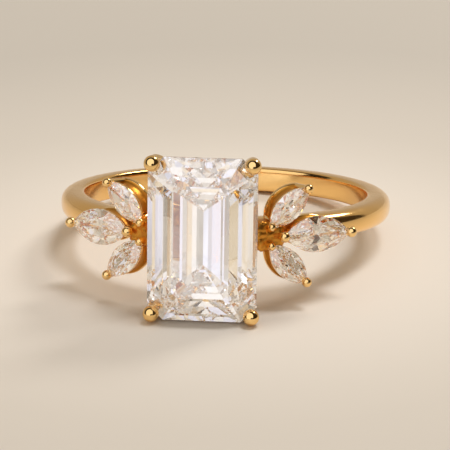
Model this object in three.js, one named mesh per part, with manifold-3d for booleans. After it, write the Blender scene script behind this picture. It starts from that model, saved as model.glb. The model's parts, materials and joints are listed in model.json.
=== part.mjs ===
// A yellow-gold engagement ring, in millimetres with +Z up.
// An emerald-cut centre stone sits in a four-claw head let into the front of the shank. On each
// shoulder three marquise stones fan out like leaves, each in its own collet with two bead claws.
//
// Everything is drawn in the ring frame: Z is the finger axis, the centre stone faces -Y, and right
// is +X. At the end the whole ring is leaned back until it rests on a table, as it does by itself:
// on the balls of its two lower claws and on the back edge of the shank.
import * as THREE from "three";
import Module from "manifold-3d";
import { mergeVertices } from "three/addons/utils/BufferGeometryUtils.js";

// ---------- driving dimensions ----------

// Shank: flat inside and at the sides, domed outside.
const FINGER_RADIUS = 8.35;
const SHANK_RADIUS = 9.75;
const SHANK_WIDTH = 1.5;
const SHANK_DOME = 0.4;
const SHANK_EDGE = 0.12;
const SHANK_STEPS = 64;
const DOME_STEPS = 6;

// Centre stone: an emerald cut, seen face up as WIDTH by LENGTH with cut corners.
const STONE_WIDTH = 6;
const STONE_LENGTH = 9;
const STONE_CORNER = 0.85;
const STONE_GIRDLE = 0.16;
const STONE_RADIUS = 11.82;
const CROWN_ROWS = [
  { width: 0.48, slope: 40 },
  { width: 0.48, slope: 33 },
  { width: 0.48, slope: 25 },
];
const PAVILION_ROWS = [
  { width: 0.95, slope: 48 },
  { width: 0.95, slope: 43 },
  { width: 1.1, slope: 36 },
];
const CROWN_CORNER_SHARE = 1.14;
const PAVILION_CORNER_SHARE = 1.22;

// Corner claws: round wires that end in a ball. Points are for the upper right claw.
const CLAW_RADIUS = 0.34;
const CLAW_BALL_RADIUS = 0.45;
const CLAW_ROUTE = [
  [2.75, -12.15, 4.15],
  [2.78, -10.85, 4.5],
  [1.95, -10.0, 3.55],
  [1.45, -8.85, 2.4],
];
const CLAW_STEPS = 8;
const CLAW_SIDES = 10;
const BALL_SIDES = 14;
const BALL_RINGS = 9;

// Head rails: a seat rail under the girdle and a base rail between the ends of the shank.
const SEAT_RAIL = { halfX: 2.86, halfY: 4.36, corner: 0.8, bar: 0.62, top: 11.62, bottom: 11.0 };
const BASE_RAIL = { halfX: 1.75, halfY: 2.75, corner: 0.3, bar: 0.6, top: 9.5, bottom: 8.1 };

// Shoulder clusters: bead centres of the right-hand stones, from the inner bead to the outer one.
const LARGE_MARQUISE = { length: 4, width: 2, innerBead: 0.3, outerBead: 0.3 };
const SMALL_MARQUISE = { length: 3, width: 1.5, innerBead: 0.245, outerBead: 0.275 };
const MARQUISES = {
  middle: { ...LARGE_MARQUISE, inner: [4.36, -10.28, 0], outer: [7.91, -8.08, 0] },
  upper: { ...SMALL_MARQUISE, inner: [3.65, -10.37, 0.53], outer: [5.58, -9.69, 2.61] },
  lower: { ...SMALL_MARQUISE, inner: [3.65, -10.37, -0.53], outer: [5.58, -9.69, -2.61] },
};
const MARQUISE_TABLE_SHARE = 0.56;
const MARQUISE_CROWN_SHARE = 0.15;
const MARQUISE_PAVILION_SHARE = 0.42;
const MARQUISE_GIRDLE_SHARE = 0.04;
const MARQUISE_OUTLINE_STEPS = 6;

// Bead claws and collets of the marquises.
const BEAD_SIDES = 8;
const BEAD_RINGS = 6;
const BEAD_POST_SHARE = 0.68;
const BEAD_RISE = 0.12;
const BEAD_POST_DEPTH = 0.95;
const BEAD_FOOT_SHARE = 0.84;
const COLLET_DEPTH = 1.45;
const COLLET_DROP = 0.06;
const COLLET_TOP_SHARE = 0.95;
const COLLET_FOOT_SHARE = 0.9;
const COLLET_HOLE_SHARE = 0.58;
const COLLET_ARC_STEPS = 6;

// Bridges: the gold between the head and each cluster, drawn as a side outline (x, y).
const BRIDGE_OUTLINE = [
  [2.87, -10.95],
  [3.55, -10.2],
  [4.3, -9.95],
  [4.3, -8.6],
  [2.5, -9.0],
  [2.5, -10.3],
  [2.87, -10.62],
];
const BRIDGE_WIDTH = 1.5;

// Fitting gap left between two pieces that touch.
const GAP = 0.012;
const WELD = 1e-4;

// ---------- solids ----------

const wasm = await Module();
wasm.setup();

function solidOf(geometry) {
  const bare = geometry.clone();
  bare.deleteAttribute("normal");
  bare.deleteAttribute("uv");
  const welded = mergeVertices(bare, WELD);
  return new wasm.Manifold(new wasm.Mesh({
    numProp: 3,
    vertProperties: Float32Array.from(welded.attributes.position.array),
    triVerts: Uint32Array.from(welded.index.array),
  }));
}

function geometryOf(solid) {
  const mesh = solid.getMesh();
  const indexed = new THREE.BufferGeometry();
  indexed.setAttribute("position", new THREE.BufferAttribute(mesh.vertProperties, 3));
  indexed.setIndex(new THREE.BufferAttribute(mesh.triVerts, 1));
  const geometry = indexed.toNonIndexed();
  geometry.computeVertexNormals();
  return geometry;
}

function cutAway(solid, ...cutters) {
  return cutters.reduce((rest, cutter) => rest.subtract(cutter), solid);
}

const vector = (point) => new THREE.Vector3(...point);
const radians = THREE.MathUtils.degToRad;

// ---------- faceted stones ----------
// A stone is cut like a real one: flat laps take slices off a block. In a stone's own frame the
// girdle lies in the XY plane and the table faces +Z.

// The plane that meets the height `height` at the distance `reach` in the direction `azimuth`, and
// rises towards the middle of the stone by `slope` degrees; on the pavilion it falls instead.
function crownFacet(azimuth, slope, reach, height) {
  const tilt = radians(slope);
  const distance = reach * Math.sin(tilt) + height * Math.cos(tilt);
  return { azimuth: radians(azimuth), tilt, distance };
}

function pavilionFacet(azimuth, slope, reach, depth) {
  const mirrored = crownFacet(azimuth, slope, reach, depth);
  return { ...mirrored, tilt: Math.PI - mirrored.tilt };
}

const VERTICAL = 90;
const girdleFacet = (azimuth, reach) => crownFacet(azimuth, VERTICAL, reach, 0);
const tableFacet = (height) => crownFacet(0, 0, 0, height);

function cutStone(facets, blockSize, grow = 0) {
  let stone = solidOf(new THREE.BoxGeometry(blockSize, blockSize, blockSize));
  for (const { azimuth, tilt, distance } of facets) {
    const lap = new THREE.BoxGeometry(2 * blockSize, 2 * blockSize, 2 * blockSize);
    lap.translate(0, 0, blockSize + distance + grow);
    lap.rotateY(tilt);
    lap.rotateZ(azimuth);
    stone = stone.subtract(solidOf(lap));
  }
  return geometryOf(stone);
}

// Emerald cut: straight rows of steps, parallel to the sides, the ends and the cut corners.
function emeraldFacets() {
  const halfWidth = STONE_WIDTH / 2;
  const halfLength = STONE_LENGTH / 2;
  const cornerReach = (halfWidth + halfLength - STONE_CORNER) / Math.SQRT2;
  const sides = [
    { azimuth: 0, reach: halfWidth },
    { azimuth: 90, reach: halfLength },
    { azimuth: 180, reach: halfWidth },
    { azimuth: 270, reach: halfLength },
  ];
  const corners = [45, 135, 225, 315].map((azimuth) => ({ azimuth, reach: cornerReach, corner: true }));
  const facets = [];
  for (const { azimuth, reach, corner } of [...sides, ...corners]) {
    facets.push(girdleFacet(azimuth, reach));
    const crownShare = corner ? CROWN_CORNER_SHARE : 1;
    const pavilionShare = corner ? PAVILION_CORNER_SHARE : 1;
    facets.push(...stepFacets(crownFacet, CROWN_ROWS, azimuth, reach, crownShare));
    facets.push(...stepFacets(pavilionFacet, PAVILION_ROWS, azimuth, reach, pavilionShare));
  }
  facets.push(tableFacet(STONE_GIRDLE / 2 + rowsHeight(CROWN_ROWS)));
  return facets;
}

const rowHeight = (row) => row.width * Math.tan(radians(row.slope));
const rowsHeight = (rows) => rows.reduce((sum, row) => sum + rowHeight(row), 0);

function stepFacets(facet, rows, azimuth, reach, share) {
  let inset = 0;
  let height = STONE_GIRDLE / 2;
  return rows.map((row) => {
    const slope = THREE.MathUtils.radToDeg(Math.atan(rowHeight(row) / (row.width * share)));
    const step = facet(azimuth, slope, reach - inset, height);
    inset += row.width * share;
    height += rowHeight(row);
    return step;
  });
}

// Marquise outline: two equal arcs that meet in a point at each end of the X axis.
function marquiseArc(length, width) {
  const halfLength = length / 2;
  const halfWidth = width / 2;
  const radius = (halfLength ** 2 + halfWidth ** 2) / width;
  const tipAngle = Math.atan2(radius - halfWidth, halfLength);
  return { halfLength, halfWidth, radius, tipAngle };
}

// How far the outline reaches in a direction.
function marquiseReach({ halfLength, halfWidth, radius, tipAngle }, azimuth) {
  const angle = Math.asin(Math.abs(Math.sin(radians(azimuth))));
  if (angle < tipAngle) {
    return halfLength * Math.cos(angle);
  }
  return radius - (radius - halfWidth) * Math.sin(angle);
}

// The same directions in all four quarters of the outline.
function inFourQuarters(azimuths) {
  return azimuths.flatMap((azimuth) => [azimuth, 180 - azimuth, 180 + azimuth, 360 - azimuth]);
}

// Marquise brilliant: kite-shaped main facets with narrower ones between them at the girdle, and
// star facets round the table.
const MAIN_AZIMUTHS = [0, 57, 90, 123, 180, 237, 270, 303];
const HALF_AZIMUTHS = inFourQuarters([40, 49, 66, 82]);
const STAR_AZIMUTHS = inFourQuarters([36, 73]);
const HALF_EXTRA_SLOPE = 6;
const STAR_SLOPE_SHARE = 0.55;
const STAR_REACH_SHARE = 0.97;

function marquiseFacets(length, width) {
  const arc = marquiseArc(length, width);
  const girdle = (MARQUISE_GIRDLE_SHARE * width) / 2;
  const crown = MARQUISE_CROWN_SHARE * width;
  const pavilion = MARQUISE_PAVILION_SHARE * width;
  const reachAt = (azimuth) => marquiseReach(arc, azimuth);
  const crownSlope = (azimuth) => {
    const run = (1 - MARQUISE_TABLE_SHARE) * reachAt(azimuth);
    return THREE.MathUtils.radToDeg(Math.atan2(crown, run));
  };
  const pavilionSlope = (azimuth) => THREE.MathUtils.radToDeg(Math.atan2(pavilion, reachAt(azimuth)));
  const facets = [tableFacet(girdle + crown)];
  const firstTangent = THREE.MathUtils.radToDeg(arc.tipAngle);
  const tangentStep = (180 - 2 * firstTangent) / MARQUISE_OUTLINE_STEPS;
  for (let i = 0; i <= MARQUISE_OUTLINE_STEPS; i += 1) {
    const azimuth = firstTangent + i * tangentStep;
    facets.push(girdleFacet(azimuth, reachAt(azimuth)));
    facets.push(girdleFacet(-azimuth, reachAt(azimuth)));
  }
  for (const azimuth of MAIN_AZIMUTHS) {
    facets.push(crownFacet(azimuth, crownSlope(azimuth), reachAt(azimuth), girdle));
    facets.push(pavilionFacet(azimuth, pavilionSlope(azimuth), reachAt(azimuth), girdle));
  }
  for (const azimuth of HALF_AZIMUTHS) {
    const reach = reachAt(azimuth);
    facets.push(crownFacet(azimuth, crownSlope(azimuth) + HALF_EXTRA_SLOPE, reach, girdle));
    facets.push(pavilionFacet(azimuth, pavilionSlope(azimuth) + HALF_EXTRA_SLOPE, reach, girdle));
  }
  for (const azimuth of STAR_AZIMUTHS) {
    const reach = STAR_REACH_SHARE * MARQUISE_TABLE_SHARE * reachAt(azimuth);
    facets.push(crownFacet(azimuth, STAR_SLOPE_SHARE * crownSlope(azimuth), reach, girdle + crown));
  }
  return facets;
}

// ---------- placing ----------

// A frame that stands a piece drawn in its own XY plane, with +Z outwards, in the ring.
function frameOf(origin, xAxis, zAxis) {
  const yAxis = zAxis.clone().cross(xAxis);
  return new THREE.Matrix4().makeBasis(xAxis, yAxis, zAxis).setPosition(origin);
}

const STONE_FRAME = frameOf(vector([0, -STONE_RADIUS, 0]), vector([1, 0, 0]), vector([0, -1, 0]));

const middleDirection = vector(MARQUISES.middle.outer).sub(vector(MARQUISES.middle.inner)).normalize();
const CLUSTER_NORMAL = middleDirection.clone().cross(vector([0, 0, 1])).normalize();

// Mirrors a right-hand point to the given side, -1 for left and 1 for right.
const onSide = (point, side) => vector([side * point[0], point[1], point[2]]);

// The frame of one marquise: X from the inner bead to the outer one, Z out of the stone's table.
function marquiseFrame({ inner, outer }, side) {
  const from = onSide(inner, side);
  const to = onSide(outer, side);
  const along = to.clone().sub(from).normalize();
  const outwards = onSide(CLUSTER_NORMAL.toArray(), side);
  outwards.addScaledVector(along, -outwards.dot(along)).normalize();
  const centre = from.clone().add(to).multiplyScalar(0.5);
  return frameOf(centre.addScaledVector(outwards, -BEAD_RISE), along, outwards);
}

// ---------- shank ----------

function shankProfile(grow) {
  const half = SHANK_WIDTH / 2;
  const domeRadius = (half ** 2 + SHANK_DOME ** 2) / (2 * SHANK_DOME);
  const domeAngle = Math.asin(half / domeRadius);
  const points = [
    [FINGER_RADIUS - grow, -(half - SHANK_EDGE)],
    [FINGER_RADIUS + SHANK_EDGE - grow, -(half + grow)],
  ];
  for (let i = 0; i <= DOME_STEPS; i += 1) {
    const angle = domeAngle * ((2 * i) / DOME_STEPS - 1);
    const radius = SHANK_RADIUS - domeRadius + (domeRadius + grow) * Math.cos(angle);
    points.push([radius, (domeRadius + grow) * Math.sin(angle)]);
  }
  points.push([FINGER_RADIUS + SHANK_EDGE - grow, half + grow]);
  points.push([FINGER_RADIUS - grow, half - SHANK_EDGE]);
  points.push(points[0]);
  return points.map(([radius, height]) => new THREE.Vector2(radius, height));
}

function shankHoop(grow = 0) {
  const hoop = new THREE.LatheGeometry(shankProfile(grow), SHANK_STEPS);
  hoop.rotateX(Math.PI / 2);
  return solidOf(hoop);
}

function fingerBore() {
  const bore = new THREE.CylinderGeometry(FINGER_RADIUS, FINGER_RADIUS, STONE_LENGTH, SHANK_STEPS);
  bore.rotateX(Math.PI / 2);
  return solidOf(bore);
}

// The window at the front of the shank, which the base rail fills.
function headWindow() {
  const width = 2 * (BASE_RAIL.halfX + GAP);
  const depth = 2 * (SHANK_RADIUS - BASE_RAIL.bottom) + SHANK_WIDTH;
  const window = new THREE.BoxGeometry(width, depth, 2 * SHANK_WIDTH);
  window.translate(0, -(SHANK_RADIUS + BASE_RAIL.bottom) / 2, 0);
  return solidOf(window);
}

// ---------- head ----------

function cutCornerOutline(path, halfX, halfY, corner) {
  const points = [
    [halfX, halfY - corner],
    [halfX - corner, halfY],
    [-(halfX - corner), halfY],
    [-halfX, halfY - corner],
    [-halfX, -(halfY - corner)],
    [-(halfX - corner), -halfY],
    [halfX - corner, -halfY],
    [halfX, -(halfY - corner)],
  ];
  path.setFromPoints(points.map(([x, y]) => new THREE.Vector2(x, y)));
  return path;
}

// How much a cut corner shrinks for each millimetre that its outline moves inwards.
const CORNER_LOSS = 2 - Math.SQRT2;

// A rectangular rail with cut corners, drawn from `bottom` to `top` outwards from the finger axis.
function rail({ halfX, halfY, corner, bar, top, bottom }) {
  const outline = cutCornerOutline(new THREE.Shape(), halfX, halfY, corner);
  const innerCorner = Math.max(corner - bar * CORNER_LOSS, GAP);
  outline.holes.push(cutCornerOutline(new THREE.Path(), halfX - bar, halfY - bar, innerCorner));
  const geometry = new THREE.ExtrudeGeometry(outline, { depth: top - bottom, bevelEnabled: false });
  geometry.applyMatrix4(frameOf(vector([0, -bottom, 0]), vector([1, 0, 0]), vector([0, -1, 0])));
  return solidOf(geometry);
}

// The same rail with the fitting gap round it.
function grown({ halfX, halfY, corner, bar, top, bottom }) {
  return {
    halfX: halfX + GAP,
    halfY: halfY + GAP,
    corner,
    bar: bar + 2 * GAP,
    top: top + GAP,
    bottom: bottom - GAP,
  };
}

function circle(radius, sides) {
  const points = Array.from({ length: sides }, (_, i) => {
    const angle = (2 * Math.PI * i) / sides;
    return new THREE.Vector2(radius * Math.cos(angle), radius * Math.sin(angle));
  });
  return new THREE.Shape(points);
}

function clawCurve(side, level) {
  const points = CLAW_ROUTE.map(([x, y, z]) => vector([side * x, y, level * z]));
  return new THREE.CubicBezierCurve3(...points);
}

function claw(side, level, grow = 0) {
  const curve = clawCurve(side, level);
  const wire = new THREE.ExtrudeGeometry(circle(CLAW_RADIUS + grow, CLAW_SIDES), {
    steps: CLAW_STEPS,
    extrudePath: curve,
  });
  const ball = new THREE.SphereGeometry(CLAW_BALL_RADIUS + grow, BALL_SIDES, BALL_RINGS);
  ball.rotateX(Math.PI / 2);
  ball.translate(...curve.getPoint(0).toArray());
  return solidOf(wire).add(solidOf(ball));
}

// ---------- clusters ----------

// A bead claw at one tip of a marquise: a post that leans along the collet's wall and ends in a
// ball. `end` is -1 for the inner tip and 1 for the outer one.
function beadClaw(marquise, frame, end, grow = 0) {
  const radius = end < 0 ? marquise.innerBead : marquise.outerBead;
  const reach = vector(marquise.outer).distanceTo(vector(marquise.inner)) / 2;
  const head = vector([end * reach, 0, BEAD_RISE]);
  const foot = vector([end * BEAD_FOOT_SHARE * marquise.length / 2, 0, -BEAD_POST_DEPTH - grow]);
  const ball = new THREE.SphereGeometry(radius + grow, BEAD_SIDES, BEAD_RINGS);
  ball.rotateX(Math.PI / 2);
  ball.translate(...head.toArray());
  const post = new THREE.ExtrudeGeometry(circle(BEAD_POST_SHARE * radius + grow, BEAD_SIDES), {
    steps: 1,
    extrudePath: new THREE.LineCurve3(head, foot),
  });
  return solidOf(ball.applyMatrix4(frame)).add(solidOf(post.applyMatrix4(frame)));
}

function marquiseShape(length, width) {
  const { halfWidth, radius, tipAngle } = marquiseArc(length, width);
  const shape = new THREE.Shape();
  shape.absarc(0, halfWidth - radius, radius, tipAngle, Math.PI - tipAngle, false);
  shape.absarc(0, radius - halfWidth, radius, Math.PI + tipAngle, 2 * Math.PI - tipAngle, false);
  return shape;
}

// A block of marquise outline that stands below the girdle and narrows towards its foot.
function taperedMarquise({ length, width }, topShare, footShare, top, foot) {
  const geometry = new THREE.ExtrudeGeometry(marquiseShape(length, width), {
    depth: top - foot,
    bevelEnabled: false,
    curveSegments: COLLET_ARC_STEPS,
  });
  geometry.translate(0, 0, foot);
  const place = geometry.attributes.position;
  for (let i = 0; i < place.count; i += 1) {
    const upwards = (place.getZ(i) - foot) / (top - foot);
    const share = footShare + (topShare - footShare) * upwards;
    place.setX(i, place.getX(i) * share);
    place.setY(i, place.getY(i) * share);
  }
  return geometry;
}

// The wall that a marquise stands in, open at the back.
function colletWall(marquise, frame) {
  const wall = taperedMarquise(marquise, COLLET_TOP_SHARE, COLLET_FOOT_SHARE, -COLLET_DROP, -COLLET_DEPTH);
  const hole = taperedMarquise(marquise, COLLET_HOLE_SHARE, COLLET_HOLE_SHARE, WELD, -2 * COLLET_DEPTH);
  return solidOf(wall.applyMatrix4(frame)).subtract(solidOf(hole.applyMatrix4(frame)));
}

// The space that a collet and its stone take up, with the fitting gap round it.
function colletBody(marquise, frame) {
  const share = 1 + (2 * GAP) / marquise.width;
  const body = taperedMarquise(
    marquise,
    COLLET_TOP_SHARE * share,
    COLLET_FOOT_SHARE * share,
    -COLLET_DROP + GAP,
    -COLLET_DEPTH - GAP,
  );
  return solidOf(body.applyMatrix4(frame));
}

function bridgeBlock(side) {
  const outline = new THREE.Shape(BRIDGE_OUTLINE.map(([x, y]) => new THREE.Vector2(x, y)));
  const geometry = new THREE.ExtrudeGeometry(outline, { depth: BRIDGE_WIDTH, bevelEnabled: false });
  geometry.translate(0, 0, -BRIDGE_WIDTH / 2);
  if (side < 0) {
    geometry.rotateY(Math.PI);
  }
  return solidOf(geometry);
}

// ---------- assembly ----------

const SIDES = { left: -1, right: 1 };
const LEVELS = { upper: 1, lower: -1 };
const ENDS = { inner: -1, outer: 1 };

const ring = new THREE.Group();

function goldMaterial() {
  return new THREE.MeshStandardMaterial({ color: 0xe0a850, roughness: 0.12, metalness: 1 });
}

function stoneMaterial() {
  return new THREE.MeshStandardMaterial({ color: 0xf2efec, roughness: 0.02, metalness: 0 });
}

function addPiece(name, geometry, material) {
  const piece = new THREE.Mesh(geometry, material);
  piece.name = name;
  ring.add(piece);
}

const addGold = (name, solid) => addPiece(name, geometryOf(solid), goldMaterial());
const addStone = (name, geometry) => addPiece(name, geometry, stoneMaterial());

function buildCentreStone(grow = 0) {
  return cutStone(emeraldFacets(), 2 * STONE_LENGTH, grow).applyMatrix4(STONE_FRAME);
}

function buildMarquise(marquise, frame, grow = 0) {
  const facets = marquiseFacets(marquise.length, marquise.width);
  return cutStone(facets, 2 * marquise.length, grow).applyMatrix4(frame);
}

// Shank, centre stone and head.
const bore = fingerBore();
const stoneSeat = solidOf(buildCentreStone(GAP));
const clawPlaces = Object.entries(LEVELS).flatMap(([levelName, level]) =>
  Object.entries(SIDES).map(([sideName, side]) => ({ name: `${levelName}_${sideName}`, side, level })));
const clawPockets = clawPlaces.map(({ side, level }) => claw(side, level, GAP));

addGold("shank", shankHoop().subtract(headWindow()));
addStone("centre_stone", buildCentreStone());
addGold("head_seat_rail", cutAway(rail(SEAT_RAIL), stoneSeat, ...clawPockets));
addGold("head_base_rail", cutAway(rail(BASE_RAIL), bore, stoneSeat, ...clawPockets));
for (const { name, side, level } of clawPlaces) {
  addGold(`claw_${name}`, cutAway(claw(side, level), stoneSeat));
}

// Clusters: each stone with its two bead claws and its collet, then the bridge to the head.
const hoopSeat = shankHoop(GAP);
const headSeats = [stoneSeat, ...clawPockets, rail(grown(SEAT_RAIL)), rail(grown(BASE_RAIL))];
for (const [sideName, side] of Object.entries(SIDES)) {
  const clusterSeats = [];
  for (const [place, marquise] of Object.entries(MARQUISES)) {
    const name = `${place}_${sideName}`;
    const frame = marquiseFrame(marquise, side);
    const seat = solidOf(buildMarquise(marquise, frame, GAP));
    const posts = Object.values(ENDS).map((end) => beadClaw(marquise, frame, end, GAP));
    const wall = cutAway(colletWall(marquise, frame), seat, hoopSeat, ...posts);
    addStone(`marquise_${name}`, buildMarquise(marquise, frame));
    addGold(`collet_${name}`, wall);
    for (const [endName, end] of Object.entries(ENDS)) {
      addGold(`bead_claw_${endName}_${name}`, cutAway(beadClaw(marquise, frame, end), seat, hoopSeat));
    }
    clusterSeats.push(seat, ...posts, colletBody(marquise, frame));
  }
  addGold(`bridge_${sideName}`, cutAway(bridgeBlock(side), hoopSeat, ...headSeats, ...clusterSeats));
}

// ---------- resting on a table ----------

// The lean that brings the lower claws level with the back edge of the shank.
function restingLean() {
  const heelY = SHANK_RADIUS - SHANK_DOME;
  const heelZ = -SHANK_WIDTH / 2;
  const curve = clawCurve(1, -1);
  const ball = { centre: curve.getPoint(0), radius: CLAW_BALL_RADIUS };
  const wire = curve.getPoints(CLAW_STEPS).map((centre) => ({ centre, radius: CLAW_RADIUS }));
  const leans = [ball, ...wire].map(({ centre, radius }) => {
    const run = heelY - centre.y;
    const drop = heelZ - centre.z;
    return Math.atan2(drop, run) + Math.asin(radius / Math.hypot(run, drop));
  });
  return Math.max(...leans);
}

ring.rotation.x = -restingLean();
ring.updateMatrixWorld(true);
const box = new THREE.Box3().setFromObject(ring, true);
const centre = box.getCenter(new THREE.Vector3());
ring.position.set(-centre.x, -centre.y, -box.min.z);

const engagementRing = new THREE.Group();
engagementRing.add(ring);

export default engagementRing;
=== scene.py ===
"""An engagement ring in polished yellow gold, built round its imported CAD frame.

Every gold piece is a finely shaped, rounded version of its CAD node, and every stone is cut again
facet by facet. The ring is drawn in millimetres of the ring frame: Z is the finger axis, the centre
stone faces -Y and right is +X. The studio is placed in metres of the row frame, where the ring rests
on the floor.
"""
import json
import math

import bmesh
import bpy
from mathutils import Matrix, Vector
from mathutils.noise import noise


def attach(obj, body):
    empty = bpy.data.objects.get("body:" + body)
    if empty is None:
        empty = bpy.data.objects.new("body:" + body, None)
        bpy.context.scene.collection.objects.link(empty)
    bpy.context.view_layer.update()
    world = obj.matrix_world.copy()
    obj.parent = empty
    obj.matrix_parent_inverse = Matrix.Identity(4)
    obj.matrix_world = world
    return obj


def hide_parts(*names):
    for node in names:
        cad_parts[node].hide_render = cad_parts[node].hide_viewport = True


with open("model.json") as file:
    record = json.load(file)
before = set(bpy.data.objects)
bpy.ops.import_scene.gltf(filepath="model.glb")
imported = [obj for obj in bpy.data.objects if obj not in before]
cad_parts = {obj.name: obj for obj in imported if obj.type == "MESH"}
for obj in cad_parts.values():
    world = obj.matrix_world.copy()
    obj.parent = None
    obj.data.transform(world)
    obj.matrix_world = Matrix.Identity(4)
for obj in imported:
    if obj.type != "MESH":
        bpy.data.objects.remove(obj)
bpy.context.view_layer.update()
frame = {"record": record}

MM = 0.001

# ---------- shank, in millimetres of the ring frame ----------
FINGER_RADIUS = 8.35
SHANK_RADIUS = 9.75
SHANK_WIDTH = 1.5
# how far above the finger the section is widest, and how square its dome and its inside are: 2 is
# an ellipse
SHANK_WAIST = 0.62
SHANK_DOME_POWER = 2.5
SHANK_INSIDE_POWER = 7
# the angle from the middle of the head to either end of the open band
SHANK_END = math.radians(10.6)
SHANK_STEPS = 240
SECTION_STEPS = 48

# ---------- centre stone ----------
STONE_WIDTH = 6
STONE_LENGTH = 9
STONE_CORNER = 0.85
# from the finger axis to the plane of the girdle
STONE_RADIUS = 11.82
STONE_GIRDLE = 0.16
# each row of step facets from the girdle on: its width in plan and its slope in degrees
CROWN_ROWS = ((0.48, 40), (0.48, 33), (0.48, 25))
PAVILION_ROWS = ((0.95, 48), (0.95, 43), (1.1, 36))
CROWN_CORNER_SHARE = 1.14
PAVILION_CORNER_SHARE = 1.22

# ---------- side stones ----------
# the stone's size, the radii of the beads at its two tips, and their centres on the right side
MARQUISES = {
    "middle": dict(length=4, width=2, inner_bead=0.3, outer_bead=0.3,
                   inner=(4.36, -10.28, 0), outer=(7.91, -8.08, 0)),
    "upper": dict(length=3, width=1.5, inner_bead=0.245, outer_bead=0.275,
                  inner=(3.65, -10.37, 0.53), outer=(5.58, -9.69, 2.61)),
    "lower": dict(length=3, width=1.5, inner_bead=0.245, outer_bead=0.275,
                  inner=(3.65, -10.37, -0.53), outer=(5.58, -9.69, -2.61)),
}
# the table as a share of the outline, and the heights of the crown, the pavilion and the girdle as
# shares of the stone's width
MARQUISE_TABLE_SHARE = 0.56
MARQUISE_CROWN_SHARE = 0.15
MARQUISE_PAVILION_SHARE = 0.42
MARQUISE_GIRDLE_SHARE = 0.04
GIRDLE_FACET_STEPS = 10
# a half facet is this many degrees steeper than a main facet there
HALF_FACET_STEEPER = 6
# where a star facet meets the table, and its slope, as shares of the table's and the main facet's
STAR_REACH_SHARE = 0.97
STAR_SLOPE_SHARE = 0.55

# ---------- claws and beads ----------
CLAW_RADIUS = 0.34
CLAW_FOOT_RADIUS = 0.36
CLAW_BALL_RADIUS = 0.45
CLAW_ROUTE = ((2.75, -12.15, 4.15), (2.78, -10.85, 4.5), (1.95, -10.0, 3.55), (1.45, -8.85, 2.4))
# a bead's centre is this far above its stone's girdle, and its post is thinner than its ball
BEAD_RISE = 0.12
BEAD_POST_SHARE = 0.68
# how far below the girdle the post ends, and where along the stone's half length
BEAD_POST_DEPTH = 1.3
BEAD_FOOT_SHARE = 0.76
# a ball starts at a ring this small and flows into its wire over this length, both in ball radii
BALL_TIP = 0.02
BALL_BLEND = 0.3
BALL_STEPS = 16
# rings along a wire, crowded towards its ball by this power
WIRE_STEPS = 40
WIRE_CROWDING = 1.5
WIRE_SIDES = 32
# the small step along a route that gives its direction at the ball
ROUTE_STEP = 0.001

# ---------- rails ----------
# the seat rail's outline runs this far inside the stone's
SEAT_RAIL_INSET = 0.14
SEAT_RAIL_CORNER = 0.8
SEAT_RAIL_BACK = 11.0
SEAT_RAIL_WALL = 0.62
SEAT_RAIL_ROUNDING = 0.1
BASE_RAIL_HALF_WIDTH = 1.75
BASE_RAIL_HALF_LENGTH = 2.75
BASE_RAIL_CORNER = 0.3
BASE_RAIL_FRONT = 9.5
BASE_RAIL_WALL = 0.6
BASE_RAIL_ROUNDING = 0.12
BASE_RAIL_CORNER_ROUNDING = 0.05
LEAST_CORNER = 0.12
# how much shorter a cut corner gets for each millimetre that its outline moves inwards
CORNER_LOSS = 2 - math.sqrt(2)

# ---------- collets ----------
# share of the stone's outline and height above its girdle: a rim under the stone, a hollow wall, a
# second rim at the foot, then up the inside
COLLET_SECTION = ((0.955, -0.06), (0.99, -0.11), (0.99, -0.21), (0.94, -0.29),
                  (0.80, -0.40), (0.72, -0.62), (0.72, -0.90), (0.79, -1.08),
                  (0.90, -1.15), (0.935, -1.22), (0.935, -1.36), (0.89, -1.44), (0.74, -1.45),
                  (0.64, -1.36), (0.60, -1.10), (0.57, -0.75), (0.58, -0.50), (0.72, -0.33),
                  (0.88, -0.17))
# the faces from these rings take the second gold, whose dark colour is painted shade in the hollow wall
COLLET_RECESS = range(3, 8)
COLLET_OUTLINE_STEPS = 18
# how far each arc of the outline stops short of the tip, in radians
COLLET_TIP_ANGLE = 0.02

# ---------- bridges ----------
# the right bridge's outline seen along the finger axis
BRIDGE_OUTLINE = ((2.87, -10.95), (3.2, -10.62), (3.55, -10.28), (3.95, -10.08), (4.3, -9.95),
                  (4.3, -9.2), (4.3, -8.6), (3.4, -8.8), (2.5, -9.0), (2.5, -9.6), (2.5, -10.3),
                  (2.87, -10.62))
BRIDGE_WIDTH = 1.7
# share of the half width, and the size of the outline there
BRIDGE_TAPER = ((-1, 0.55), (-0.9, 0.8), (-0.65, 0.95), (-0.3, 1), (0, 1), (0.3, 1), (0.65, 0.95),
                (0.9, 0.8), (1, 0.55))
BRIDGE_LUMPS = 0.07
BRIDGE_LUMP_SIZE = 0.2

# ---------- all pieces ----------
# the gold is cut this far clear of its stones
STONE_GAP = 0.012
CUT_TOLERANCE = 1e-6
SHARP_ANGLE = math.radians(35)
ROUNDING_LEVELS = 2
ROUNDING_STEPS = 4
SIDES = {"left": -1, "right": 1}
LEVELS = {"upper": 1, "lower": -1}
ENDS = {"inner": -1, "outer": 1}

# ---------- camera ----------
# its place is in millimetres of the ring frame, and what it sees lies between two distances in metres
CAMERA_DISTANCE = 130
CAMERA_YAW = math.radians(6.03)
CAMERA_PITCH = math.radians(10.73)
CAMERA_ROLL = math.radians(0.80)
CAMERA_SIDE = 0.04
CAMERA_RISE = 1.37
CAMERA_LENS = 174.7
SENSOR = 36
CAMERA_NEAR = 0.01
CAMERA_FAR = 10

# ---------- studio, in metres of the row frame ----------
RING_MIDDLE = Vector((0, -0.004, 0.004))
FLOOR_REACH = 1.5
FLOOR_FRONT = -0.05
WINDOW = dict(azimuth=-16, elevation=38)
RIGHT_SIDE = dict(azimuth=80, elevation=12)
CARD_SIDES = 64


# ---------- the ring frame ----------

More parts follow.
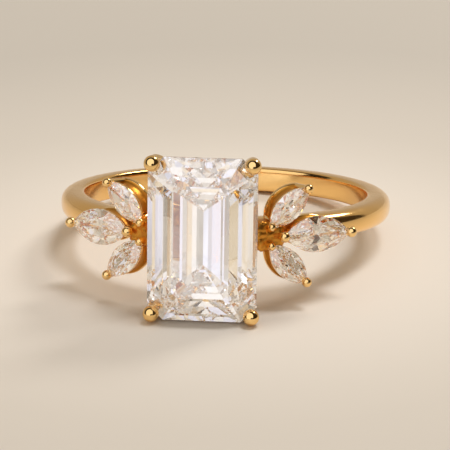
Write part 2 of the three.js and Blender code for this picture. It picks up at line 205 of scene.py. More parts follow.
def rows_height(rows):
    """How high rows of step facets rise."""
    return sum(width * math.tan(math.radians(slope)) for width, slope in rows)


def ring_frame():
    """The ring frame in metres of the row frame, from the mount on the centre stone's table."""
    mount = next(m for m in frame["record"]["mounts"] if m["name"] == "table_facet")
    outwards = Vector(mount["axis"]).normalized()
    table_radius = STONE_RADIUS + STONE_GIRDLE / 2 + rows_height(CROWN_ROWS)
    centre = Vector(mount["pos_m"]) - outwards * table_radius * MM
    right = Vector((1, 0, 0))
    finger_axis = right.cross(-outwards)
    turned = Matrix((right, -outwards, finger_axis)).transposed().to_4x4()
    return Matrix.Translation(centre) @ turned @ Matrix.Scale(MM, 4)


RING = ring_frame()


def frame_of(origin, x_axis, z_axis):
    """The frame at origin with these two axes."""
    y_axis = z_axis.cross(x_axis)
    return Matrix.Translation(origin) @ Matrix((x_axis, y_axis, z_axis)).transposed().to_4x4()


STONE_FRAME = frame_of(Vector((0, -STONE_RADIUS, 0)), Vector((1, 0, 0)), Vector((0, -1, 0)))


def on_side(point, side):
    """A point of the right side, mirrored for the left one."""
    return Vector((side * point[0], point[1], point[2]))


def marquise_frame(marquise, side):
    """X from the inner bead to the outer one, Z out of the stone's table."""
    middle = MARQUISES["middle"]
    middle_along = on_side(middle["outer"], side) - on_side(middle["inner"], side)
    outwards = middle_along.cross(Vector((0, 0, side))).normalized()
    inner = on_side(marquise["inner"], side)
    outer = on_side(marquise["outer"], side)
    along = (outer - inner).normalized()
    outwards = (outwards - outwards.dot(along) * along).normalized()
    centre = (inner + outer) / 2 - outwards * BEAD_RISE
    return frame_of(centre, along, outwards)


# ---------- camera ----------

def make_camera():
    """A long lens in front of the ring and a little above it."""
    data = bpy.data.cameras.new("camera")
    data.lens = CAMERA_LENS
    data.sensor_width = SENSOR
    data.clip_start = CAMERA_NEAR
    data.clip_end = CAMERA_FAR
    camera = bpy.data.objects.new("camera", data)
    bpy.context.scene.collection.objects.link(camera)
    bpy.context.scene.camera = camera
    turn = (Matrix.Rotation(CAMERA_ROLL, 4, "Y")
            @ Matrix.Rotation(CAMERA_PITCH, 4, "X")
            @ Matrix.Rotation(-CAMERA_YAW, 4, "Z"))
    shift = Matrix.Translation(Vector((CAMERA_SIDE, CAMERA_DISTANCE, CAMERA_RISE)))
    look_along_y = Matrix.Rotation(math.radians(90), 4, "X")
    placed = RING @ (shift @ turn).inverted() @ look_along_y
    location, rotation, _ = placed.decompose()
    camera.matrix_world = Matrix.LocRotScale(location, rotation, None)


# ---------- materials ----------

# nearly all values of a noise texture lie between these two
NOISE_LOW = 0.3
NOISE_HIGH = 0.7

GOLD_TONE_SCALE = 180
GOLD_SHEEN_SCALE = 900
BUMP_STRENGTH = 0.5

STONE_IOR = 2.65
CENTRE_TINT = (1.0, 1.0, 0.99)
SIDE_TINT = (1.0, 0.975, 0.88)
CLOUD_SCALE = 400
CLOUD_DETAIL = 2
CLOUD_SHADE = 0.985


def new_material(name):
    """A material with its nodes, its links and its shader."""
    material = bpy.data.materials.new(name)
    material.use_nodes = True
    nodes = material.node_tree.nodes
    return material, nodes, material.node_tree.links, nodes["Principled BSDF"]


def noise_texture(nodes, links, scale, detail=3):
    """Noise in the piece's own space: scale is its number of patches in a metre."""
    coordinates = nodes.new("ShaderNodeTexCoord")
    texture = nodes.new("ShaderNodeTexNoise")
    texture.inputs["Scale"].default_value = scale
    texture.inputs["Detail"].default_value = detail
    links.new(coordinates.outputs["Object"], texture.inputs["Vector"])
    return texture.outputs["Fac"]


def ramp(nodes, links, source, stops):
    """The colour that source picks between stops of (value, colour)."""
    node = nodes.new("ShaderNodeValToRGB")
    elements = node.color_ramp.elements
    while len(elements) < len(stops):
        elements.new(0.5)
    for element, (position, colour) in zip(elements, stops):
        element.position = position
        element.color = (*colour, 1)
    links.new(source, node.inputs["Fac"])
    return node.outputs["Color"]


def two_tones(nodes, links, source, low, high):
    """A colour between low and high, picked by a noise."""
    return ramp(nodes, links, source, ((NOISE_LOW, low), (NOISE_HIGH, high)))


def spread(nodes, links, source, low, high):
    """A number between low and high, picked by a noise."""
    node = nodes.new("ShaderNodeMapRange")
    node.inputs["From Min"].default_value = NOISE_LOW
    node.inputs["From Max"].default_value = NOISE_HIGH
    node.inputs["To Min"].default_value = low
    node.inputs["To Max"].default_value = high
    links.new(source, node.inputs["Value"])
    return node.outputs["Result"]


def metal(name, low, high, roughness, grain, depth):
    """Yellow gold between two tones and two roughnesses.

    grain is the number of its bumps in a metre, and depth their height in millimetres.
    """
    material, nodes, links, shader = new_material(name)
    shader.inputs["Metallic"].default_value = 1
    tone = two_tones(nodes, links, noise_texture(nodes, links, GOLD_TONE_SCALE), low, high)
    links.new(tone, shader.inputs["Base Color"])
    sheen = spread(nodes, links, noise_texture(nodes, links, GOLD_SHEEN_SCALE), *roughness)
    links.new(sheen, shader.inputs["Roughness"])
    bump = nodes.new("ShaderNodeBump")
    bump.inputs["Strength"].default_value = BUMP_STRENGTH
    bump.inputs["Distance"].default_value = depth * MM
    links.new(noise_texture(nodes, links, grain), bump.inputs["Height"])
    links.new(bump.outputs["Normal"], shader.inputs["Normal"])
    return material


def polished_gold():
    """Mirror-polished, with the faint waviness that a polishing wheel leaves."""
    return metal("polished_gold", low=(0.91, 0.60, 0.235), high=(0.95, 0.65, 0.28),
                 roughness=(0.045, 0.10), grain=1500, depth=0.0015)


def worn_gold():
    """Polished gold whose shine has softened where the ring rubs against other fingers."""
    return metal("worn_gold", low=(0.90, 0.56, 0.20), high=(0.93, 0.60, 0.235),
                 roughness=(0.10, 0.20), grain=1500, depth=0.0015)


def cast_gold_with_painted_shade():
    """Grainy cast skin in recesses that no polishing wheel reaches, its dark orange painted shade."""
    return metal("cast_gold_with_painted_shade", low=(0.56, 0.22, 0.02), high=(0.76, 0.36, 0.06),
                 roughness=(0.30, 0.48), grain=9000, depth=0.02)


def stone_material(name, tint):
    """A clear stone that bends light strongly, with the faintest cloudiness in its body."""
    material, nodes, links, shader = new_material(name)
    shader.inputs["Transmission Weight"].default_value = 1
    shader.inputs["Roughness"].default_value = 0
    shader.inputs["IOR"].default_value = STONE_IOR
    cloud = noise_texture(nodes, links, CLOUD_SCALE, CLOUD_DETAIL)
    shaded = tuple(CLOUD_SHADE * part for part in tint)
    links.new(two_tones(nodes, links, cloud, shaded, tint), shader.inputs["Base Color"])
    return material


# ---------- pieces ----------

def add_piece(node, mesh, materials):
    """Adds the fine piece that stands for a CAD node."""
    for material in materials:
        mesh.materials.append(material)
    piece = bpy.data.objects.new(node + "_fine", mesh)
    bpy.context.scene.collection.objects.link(piece)
    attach(piece, "root")
    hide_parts(node)


def add_gold(node, mesh, materials):
    """A gold piece with sharp edges only where its faces meet at more than SHARP_ANGLE."""
    mesh.polygons.foreach_set("use_smooth", [True] * len(mesh.polygons))
    mesh.set_sharp_from_angle(angle=SHARP_ANGLE)
    add_piece(node, mesh, materials)


def mesh_from(bm, name, place):
    """The mesh of bm, moved from its own frame to the ring frame by place, and bm freed."""
    bmesh.ops.recalc_face_normals(bm, faces=bm.faces)
    bm.transform(place)
    mesh = bpy.data.meshes.new(name)
    bm.to_mesh(mesh)
    bm.free()
    return mesh


def to_row_frame(mesh):
    """The mesh, moved from the ring frame to the row frame."""
    mesh.transform(RING)
    return mesh


def temporary(mesh):
    """An object that only lends its mesh to a modifier and is removed afterwards."""
    thing = bpy.data.objects.new(mesh.name, mesh)
    bpy.context.scene.collection.objects.link(thing)
    return thing


def shaped(mesh, modify):
    """The mesh after the modifiers that modify adds to an object which holds it."""
    thing = temporary(mesh)
    modify(thing)
    evaluated = thing.evaluated_get(bpy.context.evaluated_depsgraph_get())
    result = bpy.data.meshes.new_from_object(evaluated)
    bpy.data.objects.remove(thing)
    return result


def rounded(thing):
    """Adds the modifier that rounds a piece's edges."""
    modifier = thing.modifiers.new("rounding", "SUBSURF")
    modifier.levels = ROUNDING_LEVELS


def carved(mesh, cutters):
    """The mesh without the space that the stones in cutters take."""
    def modify(thing):
        for cutter in cutters:
            modifier = thing.modifiers.new("seat", "BOOLEAN")
            modifier.operation = "DIFFERENCE"
            modifier.solver = "EXACT"
            modifier.object = cutter
    return shaped(mesh, modify)


def loft(rings, close=False, recess=()):
    """A skin over rings of points, its ends capped, or joined to each other with close.

    The faces that start from a ring in recess take the second material of the piece; for a collet that is
    the gold darkened with painted shade.
    """
    bm = bmesh.new()
    rows = [[bm.verts.new(point) for point in ring] for ring in rings]
    pairs = list(zip(rows, rows[1:]))
    if close:
        pairs.append((rows[-1], rows[0]))
    for number, (row, following) in enumerate(pairs):
        count = len(row)
        for i in range(count):
            j = (i + 1) % count
            face = bm.faces.new((row[i], row[j], following[j], following[i]))
            face.material_index = int(number in recess)
    if not close:
        bm.faces.new(rows[0])
        bm.faces.new(rows[-1])
    return bm


# ---------- shank ----------

def power(value, exponent):
    """value to an exponent, with its sign kept."""
    return math.copysign(abs(value) ** exponent, value)


def shank_section():
    """Radius and height round the section: nearly square at the finger, domed outside."""
    points = []
    for i in range(SECTION_STEPS):
        angle = 2 * math.pi * i / SECTION_STEPS
        across, up = math.cos(angle), math.sin(angle)
        if across > 0:
            exponent = 2 / SHANK_DOME_POWER
            reach = SHANK_RADIUS - FINGER_RADIUS - SHANK_WAIST
        else:
            exponent = 2 / SHANK_INSIDE_POWER
            reach = SHANK_WAIST
        radius = FINGER_RADIUS + SHANK_WAIST + reach * power(across, exponent)
        points.append((radius, SHANK_WIDTH / 2 * power(up, exponent)))
    return points


def build_shank(golds):
    """The band, open at the front between its two ends."""
    section = shank_section()
    rings = []
    for i in range(SHANK_STEPS + 1):
        angle = SHANK_END + (2 * math.pi - 2 * SHANK_END) * i / SHANK_STEPS
        rings.append([Vector((radius * math.sin(angle), -radius * math.cos(angle), height))
                      for radius, height in section])
    add_gold("shank", to_row_frame(mesh_from(loft(rings), "shank", Matrix())), golds)


# ---------- wires that end in a ball ----------

def bezier(points, t):
    """The point at t of the cubic curve with these four points."""
    a, b, c, d = points
    s = 1 - t
    return a * s ** 3 + b * 3 * s * s * t + c * 3 * s * t * t + d * t ** 3


def smooth_max(a, b, blend):
    """The larger of a and b, with a soft change from one to the other."""
    h = max(blend - abs(a - b), 0) / blend
    return max(a, b) + h * h * blend / 4


def wire_stations(route, ball, radius_at):
    """Centre and radius of each ring round a wire whose first point is the centre of its ball."""
    start = route(0)
    outwards = (start - route(ROUTE_STEP)).normalized()
    stations = [(start + outwards * ball, BALL_TIP * ball)]
    for i in range(1, BALL_STEPS):
        angle = math.pi / 2 * (1 - i / BALL_STEPS)
        stations.append((start + outwards * ball * math.sin(angle), ball * math.cos(angle)))
    for i in range(WIRE_STEPS + 1):
        t = (i / WIRE_STEPS) ** WIRE_CROWDING
        centre = route(t)
        away = (centre - start).length
        bulge = math.sqrt(max(ball * ball - away * away, 0))
        stations.append((centre, smooth_max(bulge, radius_at(t), BALL_BLEND * ball)))
    return outwards, stations


def wire_rings(route, ball, radius_at):
    """Rings round a wire that ends in a ball. route(t) gives its line and radius_at(t) its radius."""
    outwards, stations = wire_stations(route, ball, radius_at)
    rings = []
    side = outwards.orthogonal().normalized()
    for i, (centre, radius) in enumerate(stations):
        before = stations[max(i - 1, 0)][0]
        after = stations[min(i + 1, len(stations) - 1)][0]
        tangent = (after - before).normalized()
        side = (side - side.dot(tangent) * tangent).normalized()
        up = tangent.cross(side)
        rings.append([centre + radius * (side * math.cos(a) + up * math.sin(a))
                      for a in (2 * math.pi * k / WIRE_SIDES for k in range(WIRE_SIDES))])
    return rings


def build_claw(name, side, level, cutters, golds):
    """A corner claw: a bent wire from the base rail to its ball on the stone's corner."""
    points = [Vector((side * x, y, level * z)) for x, y, z in CLAW_ROUTE]
    rings = wire_rings(lambda t: bezier(points, t), CLAW_BALL_RADIUS,
                       lambda t: CLAW_RADIUS + (CLAW_FOOT_RADIUS - CLAW_RADIUS) * t)
    add_gold(name, to_row_frame(carved(mesh_from(loft(rings), name, Matrix()), cutters)), golds)


def build_bead(name, marquise, place, end, cutters, golds):
    """A bead claw: a straight post from the collet's foot to its ball on the stone's tip."""
    ball = marquise["inner_bead"] if end < 0 else marquise["outer_bead"]
    reach = (Vector(marquise["outer"]) - Vector(marquise["inner"])).length / 2
    head = Vector((end * reach, 0, BEAD_RISE))
    foot = Vector((end * BEAD_FOOT_SHARE * marquise["length"] / 2, 0, -BEAD_POST_DEPTH))
    radius = BEAD_POST_SHARE * ball
    rings = wire_rings(lambda t: head.lerp(foot, t), ball, lambda t: radius)
    add_gold(name, to_row_frame(carved(mesh_from(loft(rings), name, place), cutters)), golds)


# ---------- rails: an outline swept through a closed section ----------

def rounded_polygon(corners, rounding):
    """Points round a polygon whose corners are rounded off."""
    points = []
    count = len(corners)
    for i in range(count):
        before, at, after = (Vector(corners[(i + k) % count]) for k in (-1, 0, 1))
        first = at + (before - at).normalized() * rounding
        last = at + (after - at).normalized() * rounding
        for k in range(ROUNDING_STEPS + 1):
            t = k / ROUNDING_STEPS
            points.append(first * (1 - t) ** 2 + at * 2 * t * (1 - t) + last * t * t)
    return points


def rounded_octagon(half_x, half_y, corner, rounding):
    """Points round a rectangle with cut corners, each of its eight corners rounded."""
    corners = []
    for sx, sy in ((1, 1), (-1, 1), (-1, -1), (1, -1)):
        pair = [(sx * half_x, sy * (half_y - corner)), (sx * (half_x - corner), sy * half_y)]
        corners += pair if sx * sy > 0 else pair[::-1]
    return rounded_polygon(corners, rounding)


def swept(section, half_x, half_y, corner, rounding, place):
    """A closed frame: for each (inset, height) of the section, a cut-cornered outline set in by inset."""
    rings = []
    for inset, height in section:
        left_over = max(corner - inset * CORNER_LOSS, LEAST_CORNER)
        outline = rounded_octagon(half_x - inset, half_y - inset, left_over, rounding)
        rings.append([place(point, height) for point in outline])
    return loft(rings, close=True)


def build_seat_rail(cutters, golds):
    """The upper frame of the head, cut to the stone that sits in it."""
    front = SEAT_RAIL_BACK + SEAT_RAIL_WALL
    section = rounded_polygon(((0, front), (0, SEAT_RAIL_BACK), (SEAT_RAIL_WALL, SEAT_RAIL_BACK),
                               (SEAT_RAIL_WALL, front)), SEAT_RAIL_ROUNDING)
    bm = swept(section, STONE_WIDTH / 2 - SEAT_RAIL_INSET, STONE_LENGTH / 2 - SEAT_RAIL_INSET,
               SEAT_RAIL_CORNER, SEAT_RAIL_ROUNDING,
               lambda point, height: Vector((point.x, -height, point.y)))
    mesh = carved(mesh_from(bm, "head_seat_rail", Matrix()), cutters)
    add_gold("head_seat_rail", to_row_frame(mesh), golds)


def build_base_rail(golds):
    """The lower frame of the head, its underside curved to the finger."""
    section = rounded_polygon(((0, 1), (0, 0), (BASE_RAIL_WALL, 0), (BASE_RAIL_WALL, 1)),
                              BASE_RAIL_ROUNDING)

    def place(point, share):
        bore = math.sqrt(FINGER_RADIUS ** 2 - point.x ** 2)
        return Vector((point.x, -(bore + (BASE_RAIL_FRONT - bore) * share), point.y))

    bm = swept(section, BASE_RAIL_HALF_WIDTH, BASE_RAIL_HALF_LENGTH, BASE_RAIL_CORNER,
               BASE_RAIL_CORNER_ROUNDING, place)
    add_gold("head_base_rail", to_row_frame(mesh_from(bm, "head_base_rail", Matrix())), golds)


# ---------- collets ----------

def marquise_arc(length, width):
    """Half length, half width, arc radius, and the angle at which the arc reaches the tip."""
    half_length, half_width = length / 2, width / 2
    radius = (half_length ** 2 + half_width ** 2) / width
    tip = math.atan2(radius - half_width, half_length)
    return half_length, half_width, radius, tip


def marquise_outline(length, width):
    """Two arcs that stop a little short of the tips, which blunts them."""
    _, half_width, radius, tip = marquise_arc(length, width)
    first = tip + COLLET_TIP_ANGLE
    points = []
    for sign in (1, -1):
        for i in range(COLLET_OUTLINE_STEPS + 1):
            angle = first + (math.pi - 2 * first) * i / COLLET_OUTLINE_STEPS
            point = Vector((radius * math.cos(angle), half_width - radius + radius * math.sin(angle)))
            points.append(sign * point)
    return points


def build_collet(name, marquise, place, cutters, golds):
    """The wall under a side stone, with its recess in the second of the golds, which is darkened with
    painted shade.
    """
    outline = marquise_outline(marquise["length"], marquise["width"])
    rings = [[Vector((share * point.x, share * point.y, height)) for point in outline]
             for share, height in COLLET_SECTION]
    mesh = shaped(mesh_from(loft(rings, close=True, recess=COLLET_RECESS), name, place), rounded)
    add_gold(name, to_row_frame(carved(mesh, cutters)), golds)


# ---------- bridges ----------

def add_lumps(mesh):
    """Moves each point of the bridge in or out, as rough as it came from the mould."""
    normals = [vertex.normal.copy() for vertex in mesh.vertices]
    for vertex, normal in zip(mesh.vertices, normals):
        vertex.co += normal * BRIDGE_LUMPS * noise(vertex.co / BRIDGE_LUMP_SIZE)


def build_bridge(name, side, cutters, golds):
    """The gold that joins a cluster to the head over the shank."""
    outline = [Vector(point) for point in BRIDGE_OUTLINE]
    middle = sum(outline, Vector((0, 0))) / len(outline)
    rings = []
    for share, size in BRIDGE_TAPER:
        points = [middle + (point - middle) * size for point in outline]
        rings.append([Vector((side * point.x, point.y, share * BRIDGE_WIDTH / 2)) for point in points])
    mesh = shaped(mesh_from(loft(rings), name, Matrix()), rounded)
    add_lumps(mesh)
    add_gold(name, to_row_frame(carved(mesh, cutters)), golds)


# ---------- stones ----------

# the slope of a girdle facet
VERTICAL = 90


def crown_facet(azimuth, slope, reach, height):
    """Normal and distance from the stone's centre of a crown facet through this reach and height."""
    tilt = math.radians(slope)
    turn = math.radians(azimuth)
    normal = Vector((math.sin(tilt) * math.cos(turn), math.sin(tilt) * math.sin(turn), math.cos(tilt)))
    return normal, reach * math.sin(tilt) + height * math.cos(tilt)


def pavilion_facet(azimuth, slope, reach, depth):
    """The same for a facet below the girdle."""
    normal, distance = crown_facet(azimuth, slope, reach, depth)
    return Vector((normal.x, normal.y, -normal.z)), distance


def cut_stone(facets, size, name, place, grown=0):
    """Laps a block down with one plane for each facet, as a cutter does.

    grown moves each plane outwards.
    """
    bm = bmesh.new()
    bmesh.ops.create_cube(bm, size=2 * size)
    for normal, distance in facets:
        geometry = bm.verts[:] + bm.edges[:] + bm.faces[:]
        cut = bmesh.ops.bisect_plane(bm, geom=geometry, plane_co=normal * (distance + grown),
                                     plane_no=normal, clear_outer=True, dist=CUT_TOLERANCE)
        edges = [e for e in cut["geom_cut"] if isinstance(e, bmesh.types.BMEdge)]
        if len(edges) > 2:
            bmesh.ops.contextual_create(bm, geom=edges)
    return mesh_from(bm, name, place)


def add_stone(name, facets, size, place, material):
    """Adds the stone, and returns the slightly larger body that the gold round it is cut with."""
    add_piece(name, to_row_frame(cut_stone(facets, size, name, place)), [material])
    return temporary(cut_stone(facets, size, name + "_seat", place, STONE_GAP))


def step_facets(facet, rows, azimuth, reach, share):
    """One facet for each row, from the girdle on. share widens the rows at a corner."""
    facets = []
    inset, height = 0, STONE_GIRDLE / 2
    for width, slope in rows:
        rise = width * math.tan(math.radians(slope))
        slope_here = math.degrees(math.atan2(rise, width * share))
        facets.append(facet(azimuth, slope_here, reach - inset, height))
        inset += width * share
        height += rise
    return facets


def emerald_facets():
    """An emerald cut: step facets on four sides and four cut corners, and a table."""
    half_width, half_length = STONE_WIDTH / 2, STONE_LENGTH / 2
    corner_reach = (half_width + half_length - STONE_CORNER) / math.sqrt(2)
    facets = []
    for quarter in range(4):
        side_reach = half_length if quarter % 2 else half_width
        side = (90 * quarter, side_reach, 1, 1)
        corner = (90 * quarter + 45, corner_reach, CROWN_CORNER_SHARE, PAVILION_CORNER_SHARE)
        for azimuth, reach, crown, pavilion in (side, corner):
            facets.append(crown_facet(azimuth, VERTICAL, reach, 0))
            facets += step_facets(crown_facet, CROWN_ROWS, azimuth, reach, crown)
            facets += step_facets(pavilion_facet, PAVILION_ROWS, azimuth, reach, pavilion)
    facets.append(crown_facet(0, 0, 0, STONE_GIRDLE / 2 + rows_height(CROWN_ROWS)))
    return facets


def in_four_quarters(azimuths):
    """Each azimuth of the first quarter, mirrored into all four."""
    return [a for azimuth in azimuths for a in (azimuth, 180 - azimuth, 180 + azimuth, 360 - azimuth)]


# where the facets of a marquise brilliant face, in degrees from its long axis
MAIN_AZIMUTHS = (0, 57, 90, 123, 180, 237, 270, 303)
HALF_AZIMUTHS = in_four_quarters((40, 49, 66, 82))
STAR_AZIMUTHS = in_four_quarters((36, 73))


def marquise_facets(length, width):
    """A marquise brilliant: table, girdle, main, half and star facets."""
    half_length, half_width, radius, tip = marquise_arc(length, width)
    girdle = MARQUISE_GIRDLE_SHARE * width / 2
    crown = MARQUISE_CROWN_SHARE * width
    pavilion = MARQUISE_PAVILION_SHARE * width

    def reach_at(azimuth):
        angle = math.asin(abs(math.sin(math.radians(azimuth))))
        if angle < tip:
            return half_length * math.cos(angle)
        return radius - (radius - half_width) * math.sin(angle)

    def crown_slope(azimuth):
        return math.degrees(math.atan2(crown, (1 - MARQUISE_TABLE_SHARE) * reach_at(azimuth)))

    def pavilion_slope(azimuth):
        return math.degrees(math.atan2(pavilion, reach_at(azimuth)))

    facets = [crown_facet(0, 0, 0, girdle + crown)]
    first = math.degrees(tip)
    for i in range(GIRDLE_FACET_STEPS + 1):
        azimuth = first + (180 - 2 * first) * i / GIRDLE_FACET_STEPS
        facets.append(crown_facet(azimuth, VERTICAL, reach_at(azimuth), 0))
        facets.append(crown_facet(-azimuth, VERTICAL, reach_at(azimuth), 0))
    for azimuths, steeper in ((MAIN_AZIMUTHS, 0), (HALF_AZIMUTHS, HALF_FACET_STEEPER)):
        for azimuth in azimuths:
            reach = reach_at(azimuth)
            facets.append(crown_facet(azimuth, crown_slope(azimuth) + steeper, reach, girdle))
            facets.append(pavilion_facet(azimuth, pavilion_slope(azimuth) + steeper, reach, girdle))
    for azimuth in STAR_AZIMUTHS:
        reach = STAR_REACH_SHARE * MARQUISE_TABLE_SHARE * reach_at(azimuth)
        facets.append(crown_facet(azimuth, STAR_SLOPE_SHARE * crown_slope(azimuth), reach, girdle + crown))
    return facets


# ---------- studio ----------

# the kinds of ray that a card or lamp is seen by: mirrored by a polished surface, passed through a
# stone, or scattered by the floor
MIRRORED = ("glossy",)
PASSED = ("transmission",)
SCATTERED = ("diffuse",)

CLOTH_SCALE = 8
CLOTH_ROUGHNESS = 0.9
CLOTH_TONES = ((0.05, 0.038, 0.026), (0.065, 0.05, 0.036))

FLOOR_ROUGHNESS = 0.6
# the floor's colour at these distances from the row frame's origin, in metres: a painted pool of light,
# palest round the ring
PAINTED_LIGHT_POOL_TONES = ((0.012, (0.87, 0.80, 0.72)), (0.022, (0.72, 0.66, 0.585)),
               (0.042, (0.60, 0.555, 0.495)), (0.12, (0.63, 0.585, 0.52)))

ROOM_COLOUR = (1.0, 0.87, 0.70)
ROOM_STRENGTH = 0.48

# how far across the curtain, and the light that comes through there: cool and warm lengths, with
# a narrow dark fold between them
COOL, WARM, FOLD = (0.94, 0.92, 1.04), (1.04, 0.98, 0.93), (0.20, 0.18, 0.19)
CURTAIN_FOLDS = ((0.00, (0.55, 0.42, 0.29)), (0.14, (0.80, 0.69, 0.56)), (0.22, WARM), (0.29, COOL),
                 (0.326, COOL), (0.33, FOLD), (0.334, COOL), (0.385, COOL),
                 (0.395, (0.60, 0.41, 0.23)), (0.425, (0.72, 0.54, 0.36)), (0.43, FOLD),
                 (0.435, (0.66, 0.64, 0.70)), (0.455, (0.72, 0.70, 0.77)), (0.465, COOL),
                 (0.521, COOL), (0.525, FOLD), (0.529, WARM), (0.58, WARM),
                 (0.59, (0.95, 0.78, 0.56)), (0.622, (0.90, 0.73, 0.50)), (0.627, FOLD),
                 (0.632, COOL), (0.66, COOL), (0.67, (1.00, 0.85, 0.66)), (0.69, (1.00, 0.85, 0.66)),
                 (0.70, COOL), (0.74, COOL), (0.745, FOLD), (0.75, WARM), (0.87, (0.84, 0.72, 0.58)),
                 (1.00, (0.50, 0.37, 0.24)))

LIGHT_BOUNCES = 64
DIFFUSE_BOUNCES = 4
BRIGHTEST_BOUNCE = 6


def direction(azimuth, elevation):
    """The way from the ring to a light: azimuth 0 is in front and 90 to the right, in degrees."""
    a, e = math.radians(azimuth), math.radians(elevation)
    return Vector((math.sin(a) * math.cos(e), -math.cos(a) * math.cos(e), math.sin(e)))


def aim(thing, azimuth, elevation, distance):
    """Places a light or card and turns it to the ring."""
    way = direction(azimuth, elevation)
    thing.location = RING_MIDDLE + way * distance
    thing.rotation_mode = "QUATERNION"
    thing.rotation_quaternion = (-way).to_track_quat("-Z", "Y")


def show_only_to(thing, seen_by):
    """Hides a light or card from the camera and from all but the rays in seen_by."""
    thing.visible_camera = False
    thing.visible_glossy = "glossy" in seen_by
    thing.visible_transmission = "transmission" in seen_by
    thing.visible_diffuse = "diffuse" in seen_by


def add_light(name, azimuth, elevation, distance, radius, radiance, colour, seen_by):
    """A round, soft light of the given radiance."""
    area = math.pi * radius ** 2
    data = bpy.data.lights.new(name, "AREA")
    data.shape = "DISK"
    data.size = 2 * radius
    data.energy = radiance * math.pi * area
    data.color = colour
    light = bpy.data.objects.new(name, data)
    bpy.context.scene.collection.objects.link(light)
    aim(light, azimuth, elevation, distance)
    show_only_to(light, seen_by)


def add_card(name, azimuth, elevation, distance, radius, material, seen_by):
    """A round card that casts no shadow."""
    bm = bmesh.new()
    bmesh.ops.create_circle(bm, cap_ends=True, segments=CARD_SIDES, radius=radius)
    card = staged(name, bm, material)
    aim(card, azimuth, elevation, distance)
    show_only_to(card, seen_by)
    card.visible_shadow = False


def staged(name, bm, material):
    """A floor or card from bm, which is freed; it is not attached to the ring."""
    mesh = bpy.data.meshes.new(name)
    bm.to_mesh(mesh)
    bm.free()
    mesh.materials.append(material)
    thing = bpy.data.objects.new(name, mesh)
    bpy.context.scene.collection.objects.link(thing)
    return thing


def black_cloth():
    """Black cloth, a little warm and with no shine."""
    material, nodes, links, shader = new_material("black_cloth")
    shader.inputs["Roughness"].default_value = CLOTH_ROUGHNESS
    shader.inputs["Specular IOR Level"].default_value = 0
    tone = two_tones(nodes, links, noise_texture(nodes, links, CLOTH_SCALE), *CLOTH_TONES)
    links.new(tone, shader.inputs["Base Color"])
    return material


def curtain():
    """Daylight through a thin curtain: its upright folds are cooler and warmer in turn."""
    material = bpy.data.materials.new("curtain")
    material.use_nodes = True
    nodes, links = material.node_tree.nodes, material.node_tree.links
    nodes.clear()
    coordinates = nodes.new("ShaderNodeTexCoord")
    axes = nodes.new("ShaderNodeSeparateXYZ")
    links.new(coordinates.outputs["Generated"], axes.inputs["Vector"])
    emission = nodes.new("ShaderNodeEmission")
    links.new(ramp(nodes, links, axes.outputs["X"], CURTAIN_FOLDS), emission.inputs["Color"])
    output = nodes.new("ShaderNodeOutputMaterial")
    links.new(emission.outputs["Emission"], output.inputs["Surface"])
    return material


def pale_floor():
    """A pale matt floor with a painted pool of light, palest close to the ring."""
    material, nodes, links, shader = new_material("pale_floor")
    geometry = nodes.new("ShaderNodeNewGeometry")
    distance = nodes.new("ShaderNodeVectorMath")
    distance.operation = "LENGTH"
    links.new(geometry.outputs["Position"], distance.inputs[0])
    links.new(ramp(nodes, links, distance.outputs["Value"], PAINTED_LIGHT_POOL_TONES), shader.inputs["Base Color"])
    shader.inputs["Roughness"].default_value = FLOOR_ROUGHNESS
    return material


def add_floor(name, near, far, material):
    """A rectangle of floor from near to far along Y, and FLOOR_REACH to either side."""
    bm = bmesh.new()
    corners = [bm.verts.new((x, y, 0)) for x, y in ((-FLOOR_REACH, near), (FLOOR_REACH, near),
                                                    (FLOOR_REACH, far), (-FLOOR_REACH, far))]
    bm.faces.new(corners)
    return staged(name, bm, material)


def build_floor():
    """The floor, in two parts.

    The part in front of the ring is hidden from the gold and the stones, so that the window's light
    reaches them from below the floor's level too.
    """
    material = pale_floor()
    add_floor("floor", FLOOR_FRONT, FLOOR_REACH, material)
    front = add_floor("front_floor", -FLOOR_REACH, FLOOR_FRONT, material)
    front.visible_glossy = False
    front.visible_transmission = False
    front.visible_shadow = False


def build_room():
    """The even, warm light of a pale room all round."""
    world = bpy.data.worlds.new("studio")
    bpy.context.scene.world = world
    world.use_nodes = True
    background = world.node_tree.nodes["Background"]
    background.inputs["Color"].default_value = (*ROOM_COLOUR, 1)
    background.inputs["Strength"].default_value = ROOM_STRENGTH


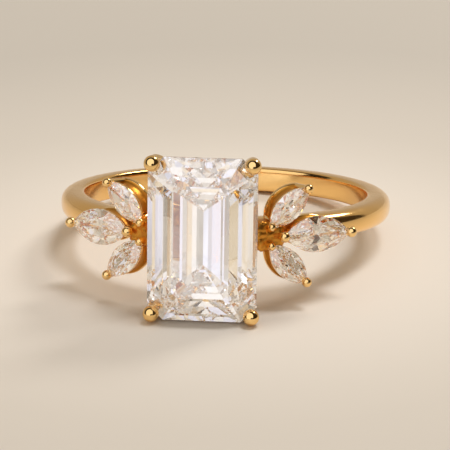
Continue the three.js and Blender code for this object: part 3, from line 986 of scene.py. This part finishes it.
def build_studio():
    """A window above the camera, dark cards for the dark edges, and a lamp behind and above."""
    build_room()
    build_floor()
    black = black_cloth()
    add_card("curtain", **WINDOW, distance=0.6, radius=0.72, material=curtain(), seen_by=PASSED)
    add_light("window", **WINDOW, distance=0.6, radius=0.7, radiance=1.2, colour=(0.96, 0.95, 1.0),
              seen_by=MIRRORED)
    add_card("window_surround", **WINDOW, distance=0.62, radius=2.2, material=black, seen_by=MIRRORED)
    add_card("dark_flag", **RIGHT_SIDE, distance=0.5, radius=0.42, material=black, seen_by=MIRRORED)
    add_card("stone_flag", **RIGHT_SIDE, distance=0.5, radius=0.2, material=black, seen_by=PASSED)
    add_card("photographer", azimuth=16, elevation=4, distance=0.45, radius=0.12, material=black,
             seen_by=MIRRORED)
    add_light("back_lamp", azimuth=142, elevation=42, distance=0.6, radius=0.085, radiance=15,
              colour=(1.0, 0.97, 0.92), seen_by=MIRRORED + PASSED + SCATTERED)
    add_light("floor_lamp", azimuth=100, elevation=74, distance=0.6, radius=0.09, radiance=17,
              colour=(0.93, 0.96, 1.0), seen_by=SCATTERED)


def set_light_paths():
    """Enough bounces for light that is caught inside a stone."""
    cycles = bpy.context.scene.cycles
    cycles.use_denoising = True
    cycles.max_bounces = LIGHT_BOUNCES
    cycles.transmission_bounces = LIGHT_BOUNCES
    cycles.glossy_bounces = LIGHT_BOUNCES
    cycles.diffuse_bounces = DIFFUSE_BOUNCES
    cycles.sample_clamp_indirect = BRIGHTEST_BOUNCE
    bpy.context.scene.view_settings.view_transform = "Standard"


# ---------- assembly ----------

def build_cluster(side_name, side, head_seat, stone, polished, cast_with_painted_shade):
    """The three side stones of one shoulder, their collets and beads, and the bridge to the head."""
    places = {level: marquise_frame(marquise, side) for level, marquise in MARQUISES.items()}
    cutters = []
    for level, marquise in MARQUISES.items():
        length, width = marquise["length"], marquise["width"]
        cutters.append(add_stone(f"marquise_{level}_{side_name}", marquise_facets(length, width), length,
                                 places[level], stone))
    for level, marquise in MARQUISES.items():
        place = places[level]
        build_collet(f"collet_{level}_{side_name}", marquise, place, cutters, [polished, cast_with_painted_shade])
        for end_name, end in ENDS.items():
            build_bead(f"bead_claw_{end_name}_{level}_{side_name}", marquise, place, end, cutters,
                       [polished])
    # the bridge is all in the cast gold, whose dark colour is painted shade between the stones and the
    # head
    build_bridge(f"bridge_{side_name}", side, [head_seat, *cutters], [cast_with_painted_shade])
    for cutter in cutters:
        bpy.data.objects.remove(cutter)


def build_ring():
    """All 34 pieces: the head with its stone, the shank and the two clusters."""
    polished, cast_with_painted_shade = polished_gold(), cast_gold_with_painted_shade()
    centre = stone_material("centre_stone", CENTRE_TINT)
    sides = stone_material("side_stones", SIDE_TINT)
    seat = add_stone("centre_stone", emerald_facets(), STONE_LENGTH, STONE_FRAME, centre)
    build_shank([worn_gold()])
    build_seat_rail([seat], [polished])
    build_base_rail([polished])
    for level_name, level in LEVELS.items():
        for side_name, side in SIDES.items():
            build_claw(f"claw_{level_name}_{side_name}", side, level, [seat], [polished])
    for side_name, side in SIDES.items():
        build_cluster(side_name, side, seat, sides, polished, cast_with_painted_shade)
    bpy.data.objects.remove(seat)


make_camera()
build_ring()
build_studio()
set_light_paths()
